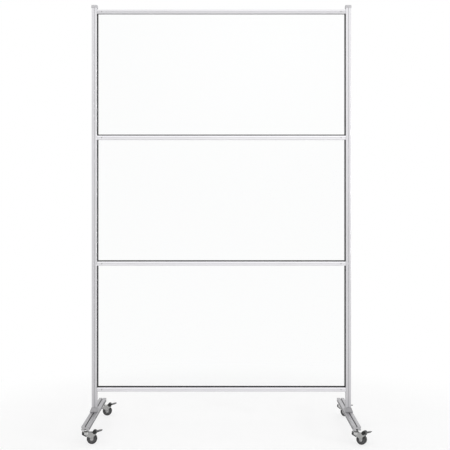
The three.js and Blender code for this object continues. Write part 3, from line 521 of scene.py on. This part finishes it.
# The ribs across the lever's tread. The tread rises from its start by a slope.
TREAD_START = 54
TREAD_HEIGHT = 59.7
TREAD_SLOPE = 0.19
TREAD_RIBS = 4
TREAD_RIB_START = 55.5
TREAD_RIB_PITCH = 3.2
TREAD_RIB_HALF_WIDTH = 0.6
TREAD_RIB_HALF_LENGTH = 9.5
TREAD_RIB_ROOT = 1
TREAD_RIB_RISE = 0.45
TREAD_RIB_EDGE = 0.25

# The pedal's round head, its trunnions in the fork and the cheek outside each leg of the fork.
PEDAL_HEAD_RADIUS = 9.1
PEDAL_HEAD_HALF_WIDTH = 9.6
PEDAL_HEAD_EDGE = 1.4
TRUNNION_RADIUS = 2.6
TRUNNION_REACH = 14
CHEEK = [
    (0, 14.9), (3.0, 14.9), (3.3, 15.3), (7.5, 15.3), (8.1, 15.0), (8.3, 14.4), (8.3, 13.3), (7.9, 12.9),
    (0, 12.9),
]


def caster_matrix(name):
    place = Vector(joints[f"{name}_swivel_turn"]["pos_m"])
    across = Vector(joints[f"{name}_wheel_roll"]["axis"])
    along = across.cross(UP)
    matrix = Matrix((along, across, UP)).transposed().to_4x4()
    matrix.translation = (place.x, place.y, 0)
    return matrix


def make_fork(name, matrix):
    local = matrix.inverted()

    def is_folded(edge):
        ends = [local @ vert.co / MM for vert in edge.verts]
        return all(abs(end.z - FORK_TOP) < FOLD_TOLERANCE
                   and abs(abs(end.y) - FORK_HALF_WIDTH) < FOLD_TOLERANCE for end in ends)

    def is_drawn_head(face):
        centre = local @ face.calc_center_median() / MM
        return centre.z > DRAWN_HEAD_LOW and centre.xy.length < DRAWN_HEAD_RADIUS

    soften(f"{name}_fork", ZINC, FORK_EDGE, fold=(is_folded, FOLD_RADIUS),
           second=(ZINC_PAINTED_HIGHLIGHT, is_drawn_head))


def make_tyre(name, matrix):
    bm = bmesh.new()
    half = TYRE_HALF_WIDTH
    side = [
        (TYRE_BORE, half, TYRE_BORE_EDGE),
        (WALL_GROOVE_START, half),
        (WALL_GROOVE_START + WALL_GROOVE_SLOPE, half - WALL_GROOVE_DEPTH),
        (WALL_GROOVE_END - WALL_GROOVE_SLOPE, half - WALL_GROOVE_DEPTH),
        (WALL_GROOVE_END, half),
        (TYRE_RADIUS - SHOULDER_DROP, half, SHOULDER_RADIUS),
        (TYRE_RADIUS, SEAM_HALF_WIDTH, SEAM_EDGE),
    ]
    seam = (TYRE_RADIUS - SEAM_DEPTH, 0, SEAM_FLOOR_RADIUS)
    outline = rounded([*mirrored(side), seam, *side[::-1]], TYRE_EDGE, steps=5)
    spin(bm, outline, WHEEL_SEGMENTS, WHEEL_CENTRE, Y)
    stand_in(f"{name}_tyre", "moulded", bm, TYRE, matrix, TYRE_SMOOTH_ANGLE)


def make_hub(name, matrix):
    bm = bmesh.new()
    outline = rounded(mirrored(HUB_SIDE) + HUB_SIDE[::-1], HUB_EDGE, steps=3)
    spin(bm, outline, WHEEL_SEGMENTS, WHEEL_CENTRE, Y)
    half = HUB_RIB_HALF_LENGTH
    shape = rounded(rectangle(HUB_RIB_START, HUB_RIB_END, -half, half), HUB_RIB_EDGE, steps=2)
    for rib in range(HUB_RIBS):
        turn = Matrix.Rotation(2 * math.pi * rib / HUB_RIBS, 3, "Y")
        prism(bm, shape, -HUB_RIB_HALF_WIDTH, HUB_RIB_HALF_WIDTH,
              lambda x, y, height: WHEEL_CENTRE + turn @ Vector((x, y, height)))
    stand_in(f"{name}_wheel_hub", "moulded", bm, HUB_PLASTIC, matrix)


def axle_ring(bm, radius, span, edge):
    low, high = (FORK_HALF_WIDTH + place for place in span)
    outline = rounded(rectangle(AXLE_RING_BORE, radius, low, high), edge, steps=2)
    spin(bm, outline, ROUND_SEGMENTS, WHEEL_CENTRE, Y)


def make_axle(name, matrix):
    """A domed bolt head on one side of the fork, and a washer, a nut and the bolt's end on the other."""
    bm = bmesh.new()
    turned(bm, AXLE_BOLT, ROUND_SEGMENTS, WHEEL_CENTRE, Y)
    axle_ring(bm, WASHER_RADIUS, WASHER_SPAN, WASHER_EDGE)
    low, high = (FORK_HALF_WIDTH + place for place in NUT_SPAN)
    prism(bm, rounded(hexagon(NUT_FLATS), NUT_EDGE, steps=3), low, high,
          lambda x, z, height: (WHEEL_CENTRE.x + x, height, WHEEL_CENTRE.z + z))
    axle_ring(bm, COLLAR_RADIUS, COLLAR_SPAN, COLLAR_EDGE)
    stand_in(f"{name}_axle", "bolt", bm, STEEL, matrix)


def make_stem(name, matrix):
    """The upper race with its riveted swivel pin, lightened by a painted highlight, and the T-bolt that
    holds it to the foot, darkened by painted shade.
    """
    node = f"{name}_swivel_stem"
    bm = bmesh.new()
    turned(bm, RACE, ROUND_SEGMENTS, SWIVEL_PIN, Z)
    prism(bm, rounded(hexagon(STEM_HEX_FLATS), STEM_EDGE, steps=3), *STEM_HEX_SPAN, upright)
    stand_in(node, "turned", bm, ZINC_PAINTED_HIGHLIGHT, matrix)
    bm = bmesh.new()
    turned(bm, rod(STUD_RADIUS, *STUD_SPAN), ROUND_SEGMENTS, SWIVEL_PIN, Z)
    half = T_HEAD_HALF_WIDTH
    prism(bm, rounded(rectangle(-half, half, -half, half), STEM_EDGE, steps=3), *T_HEAD_SPAN, upright)
    # The T-bolt, darkened by painted shade.
    add_piece(f"{node}_bolt", bm, STEEL_PAINTED_SHADE, body_of(node), matrix)


def lever_section(place, height, thickness, half_width):
    half = thickness / 2
    edge = LEVER_EDGE_SHARE * min(half, LEVER_LARGEST_EDGE)
    corners = rectangle(-half_width, half_width, -half, half)
    return [(place, across, height + up) for across, up in rounded(corners, edge)]


def tread_rib(bm, place):
    top = TREAD_HEIGHT + (place - TREAD_START) * TREAD_SLOPE
    shape = rectangle(place - TREAD_RIB_HALF_WIDTH, place + TREAD_RIB_HALF_WIDTH,
                      top - TREAD_RIB_ROOT, top + TREAD_RIB_RISE)
    prism(bm, rounded(shape, TREAD_RIB_EDGE, steps=3), -TREAD_RIB_HALF_LENGTH, TREAD_RIB_HALF_LENGTH,
          lambda x, z, y: (x, y, z))


def make_pedal(name, matrix):
    """The brake pedal: a moulded lever that widens to a ribbed tread, on a round head with outer cheeks."""
    node = f"{name}_brake_pedal"
    bm = bmesh.new()
    loft(bm, [lever_section(*station) for station in LEVER_STATIONS])
    for rib in range(TREAD_RIBS):
        tread_rib(bm, TREAD_RIB_START + rib * TREAD_RIB_PITCH)
    stand_in(node, "lever", bm, LEVER_PLASTIC, matrix, LEVER_SMOOTH_ANGLE)
    bm = bmesh.new()
    half = PEDAL_HEAD_HALF_WIDTH
    head = [(0, -half, 0), (PEDAL_HEAD_RADIUS, -half), (PEDAL_HEAD_RADIUS, half), (0, half, 0)]
    turned(bm, rounded(head, PEDAL_HEAD_EDGE, steps=5), ROUND_SEGMENTS, PEDAL_PIVOT, Y)
    turned(bm, rod(TRUNNION_RADIUS, -TRUNNION_REACH, TRUNNION_REACH), ROUND_SEGMENTS, PEDAL_PIVOT, Y)
    for cheek in (mirrored(CHEEK), CHEEK):
        turned(bm, cheek, ROUND_SEGMENTS, PEDAL_PIVOT, Y)
    add_piece(f"{node}_head", bm, BLACK_PLASTIC, body_of(node), matrix)


def make_caster(name):
    matrix = caster_matrix(name)
    make_fork(name, matrix)
    soften(f"{name}_brake_housing", BLACK_PLASTIC, HOUSING_EDGE, steps=3)
    make_tyre(name, matrix)
    make_hub(name, matrix)
    make_axle(name, matrix)
    make_stem(name, matrix)
    make_pedal(name, matrix)


# The frame, in millimetres.

EXTRUSION_EDGE = 0.25
POST_CAP_EDGE = 0.5
FOOT_CAP_EDGE = 0.35
BRACKET_EDGE = 1.0
GASKET_EDGE = 0.3

# A face belongs to a slot where it lies deeper than the skin and isn't an end face.
SKIN_DEPTH = 0.6
END_FACING = 0.5

# A flush screw with a socket: its outline from the socket's floor over the rim to its hidden end.
SCREW_INSET = 22
SCREW_SEGMENTS = 24
SCREW = [
    (0, 1.2), (1.15, 1.2), (1.35, -0.35), (2.2, -0.4), (2.8, -0.1), (2.9, 0.6), (1.6, 2.4), (0, 2.4),
]


def in_slot(node, length_axis):
    """The test for the faces of an extrusion that lie below its outer skin, along its slots."""
    low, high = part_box(node)
    skin = SKIN_DEPTH * MM
    across = [axis for axis in (X, Y, Z) if axis != length_axis]

    def test(face):
        centre = face.calc_center_median()
        inside = all(low[axis] + skin < centre[axis] < high[axis] - skin for axis in across)
        return inside and abs(face.normal[length_axis]) < END_FACING

    return test


# The faces along an extrusion's slots get the slot metal, which is darker as painted shade.
def extrusion(node, length_axis, metal, slot_shade_metal):
    soften(node, metal, EXTRUSION_EDGE, second=(slot_shade_metal, in_slot(node, length_axis)))


def paint(node, material):
    nodes[node].material_slots[0].material = material


def make_upright(side):
    """One side of the frame: the post with its cap, and the foot with its bracket, bolt and end caps."""
    extrusion(f"{side}_post", Z, POST_SHADED_BELOW_METAL, POST_GROOVE_SHADE_METAL)
    soften(f"{side}_post_cap", POST_CAP_PLASTIC, POST_CAP_EDGE, steps=3)
    extrusion(f"{side}_foot", Y, FOOT_METAL, FOOT_SLOT_SHADE_METAL)
    soften(f"{side}_foot_bracket", CAST_METAL, BRACKET_EDGE, steps=3)
    paint(f"{side}_foot_bolt", STEEL)
    for end in ("front", "rear"):
        soften(f"{side}_foot_{end}_cap", FOOT_CAP_PLASTIC, FOOT_CAP_EDGE)


def screw(name, place):
    bm = bmesh.new()
    turned(bm, SCREW, SCREW_SEGMENTS, Vector(place) / MM, Y)
    add_piece(name, bm, STEEL, "frame")


def make_rail(rail):
    """A rail, its two connectors and the screws that hold them."""
    # The top rail takes the rail metal with more painted shade.
    extrusion(f"{rail}_rail", X, TOP_RAIL_SHADED_METAL if rail == "top" else RAIL_SHADED_BELOW_METAL, RAIL_GROOVE_SHADE_METAL)
    low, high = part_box(f"{rail}_rail")
    inset = SCREW_INSET * MM
    for side, x in zip(SIDES, (low.x + inset, high.x - inset)):
        paint(f"{rail}_rail_{side}_connector", CAST_METAL)
        screw(f"{rail}_rail_{side}_screw", (x, low.y, (low.z + high.z) / 2))


def make_pane(pane):
    paint(f"{pane}_glass_panel", GLASS)
    nodes[f"{pane}_glass_panel"].visible_shadow = False
    soften(f"{pane}_pane_gasket", GASKET, GASKET_EDGE)


# The studio, in metres.

# The floor takes the object's shadow within the reach and is plain white from the end on. The glow share is
# how much of it is plain white near the object.
FLOOR_SIZE = 14
FLOOR_TONE = 0.97
FLOOR_ROUGHNESS = 0.9
GLOW_SHARE = 0.7
SHADOW_REACH = 0.9
SHADOW_END = 1.8

# How bright the white surroundings are as light on the object.
WORLD_LIGHT = 0.72

# Each lamp's name, place, target, diameter and watts.
LAMPS = [
    ("key", (-3.0, -2.2, 4.6), (0, 0, 1.0), 1.4, 80),
    ("front", (0.5, -5.2, 3.1), (0, 0, 1.3), 5.0, 30),
    ("side", (3.6, -3.0, 1.3), (0, 0, 0.6), 0.9, 170),
    ("back", (1.6, 3.4, 3.6), (0, 0, 1.0), 2.8, 60),
]

# The middle of a lamp and the distance to its rim, in its own coordinates from 0 to 1.
LAMP_MIDDLE = (0.5, 0.5, 0)
LAMP_RIM = 0.5

# The camera, read from the photograph's perspective. It looks level, and the horizon's row sets its shift.
IMAGE_SIZE = 450
FOCAL_PIXELS = 962.3
HORIZON_ROW = 197
SENSOR_WIDTH = 36
CAMERA_DISTANCE = 4.537
CAMERA_HEIGHT = 1.092
CAMERA_OFFSET = 0.017


def plain_white(tree):
    """A strength of 1 where camera, glossy and transmission rays see it, and less as light on the object."""
    path = add_node(tree, "ShaderNodeLightPath")
    seen = path.outputs["Is Camera Ray"]
    for ray in ("Is Glossy Ray", "Is Transmission Ray"):
        either = add_node(tree, "ShaderNodeMath", {0: seen, 1: path.outputs[ray]}, operation="MAXIMUM")
        seen = either.outputs[0]
    inputs = {"Value": seen, "To Min": WORLD_LIGHT, "To Max": 1}
    return add_node(tree, "ShaderNodeMapRange", inputs).outputs["Result"]


def make_world():
    world = bpy.data.worlds.new("studio")
    bpy.context.scene.world = world
    world.use_nodes = True
    background = world.node_tree.nodes["Background"]
    world.node_tree.links.new(plain_white(world.node_tree), background.inputs["Strength"])
    background.inputs["Color"].default_value = (1, 1, 1, 1)


def floor_white():
    """A white surface that takes shadows near the middle and turns plain white farther out."""
    made, tree, shader = new_material("floor_white")
    shader.inputs["Base Color"].default_value = (*grey(FLOOR_TONE), 1)
    shader.inputs["Roughness"].default_value = FLOOR_ROUGHNESS
    shader.inputs["Specular IOR Level"].default_value = 0
    place = add_node(tree, "ShaderNodeTexCoord")
    distance = add_node(tree, "ShaderNodeVectorMath", {0: place.outputs["Object"]}, operation="LENGTH")
    inputs = {"Value": distance.outputs["Value"], "From Min": SHADOW_REACH, "From Max": SHADOW_END,
              "To Min": GLOW_SHARE, "To Max": 1}
    glow = add_node(tree, "ShaderNodeMapRange", inputs, interpolation_type="SMOOTHSTEP")
    white = add_node(tree, "ShaderNodeEmission", {"Strength": plain_white(tree)})
    inputs = {0: glow.outputs["Result"], 1: shader.outputs["BSDF"], 2: white.outputs["Emission"]}
    mixed = add_node(tree, "ShaderNodeMixShader", inputs)
    tree.links.new(mixed.outputs["Shader"], tree.nodes["Material Output"].inputs["Surface"])
    return made


def make_floor():
    bm = bmesh.new()
    bmesh.ops.create_grid(bm, x_segments=1, y_segments=1, size=FLOOR_SIZE / 2)
    mesh = bpy.data.meshes.new("floor")
    bm.to_mesh(mesh)
    bm.free()
    mesh.materials.append(floor_white())
    floor = bpy.data.objects.new("floor", mesh)
    bpy.context.scene.collection.objects.link(floor)


def lamp(name, place, target, size, watts):
    """A round soft box that fades out towards its rim, so that glass mirrors no hard edge of it."""
    data = bpy.data.lights.new(name, "AREA")
    data.shape = "DISK"
    data.size = size
    data.energy = watts
    data.use_nodes = True
    tree = data.node_tree
    across = add_node(tree, "ShaderNodeNewGeometry").outputs["Parametric"]
    distance = add_node(tree, "ShaderNodeVectorMath", {0: across, 1: LAMP_MIDDLE}, operation="DISTANCE")
    inputs = {"Value": distance.outputs["Value"], "From Max": LAMP_RIM, "To Min": 1, "To Max": 0}
    fade = add_node(tree, "ShaderNodeMapRange", inputs, interpolation_type="SMOOTHSTEP")
    tree.links.new(fade.outputs["Result"], tree.nodes["Emission"].inputs["Strength"])
    made = bpy.data.objects.new(name, data)
    made.location = place
    made.rotation_euler = (Vector(target) - Vector(place)).to_track_quat("-Z", "Y").to_euler()
    made.visible_camera = False
    made.visible_transmission = False
    bpy.context.scene.collection.objects.link(made)


def middle_of(node):
    low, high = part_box(node)
    return (low + high) / 2


def make_camera():
    left = middle_of("left_post")
    right = middle_of("right_post")
    data = bpy.data.cameras.new("camera")
    data.sensor_width = SENSOR_WIDTH
    data.lens = SENSOR_WIDTH * FOCAL_PIXELS / IMAGE_SIZE
    data.shift_y = (HORIZON_ROW - IMAGE_SIZE / 2) / IMAGE_SIZE
    camera = bpy.data.objects.new("camera", data)
    camera.location = ((left.x + right.x) / 2 + CAMERA_OFFSET, left.y - CAMERA_DISTANCE, CAMERA_HEIGHT)
    camera.rotation_euler = (math.pi / 2, 0, 0)
    bpy.context.scene.collection.objects.link(camera)
    bpy.context.scene.camera = camera


for side in SIDES:
    make_upright(side)
for rail in RAILS:
    make_rail(rail)
for pane in PANES:
    make_pane(pane)
for caster in CASTERS:
    make_caster(caster)
make_world()
make_floor()
make_camera()
for settings in LAMPS:
    lamp(*settings)
bpy.context.scene.view_settings.view_transform = "Standard"
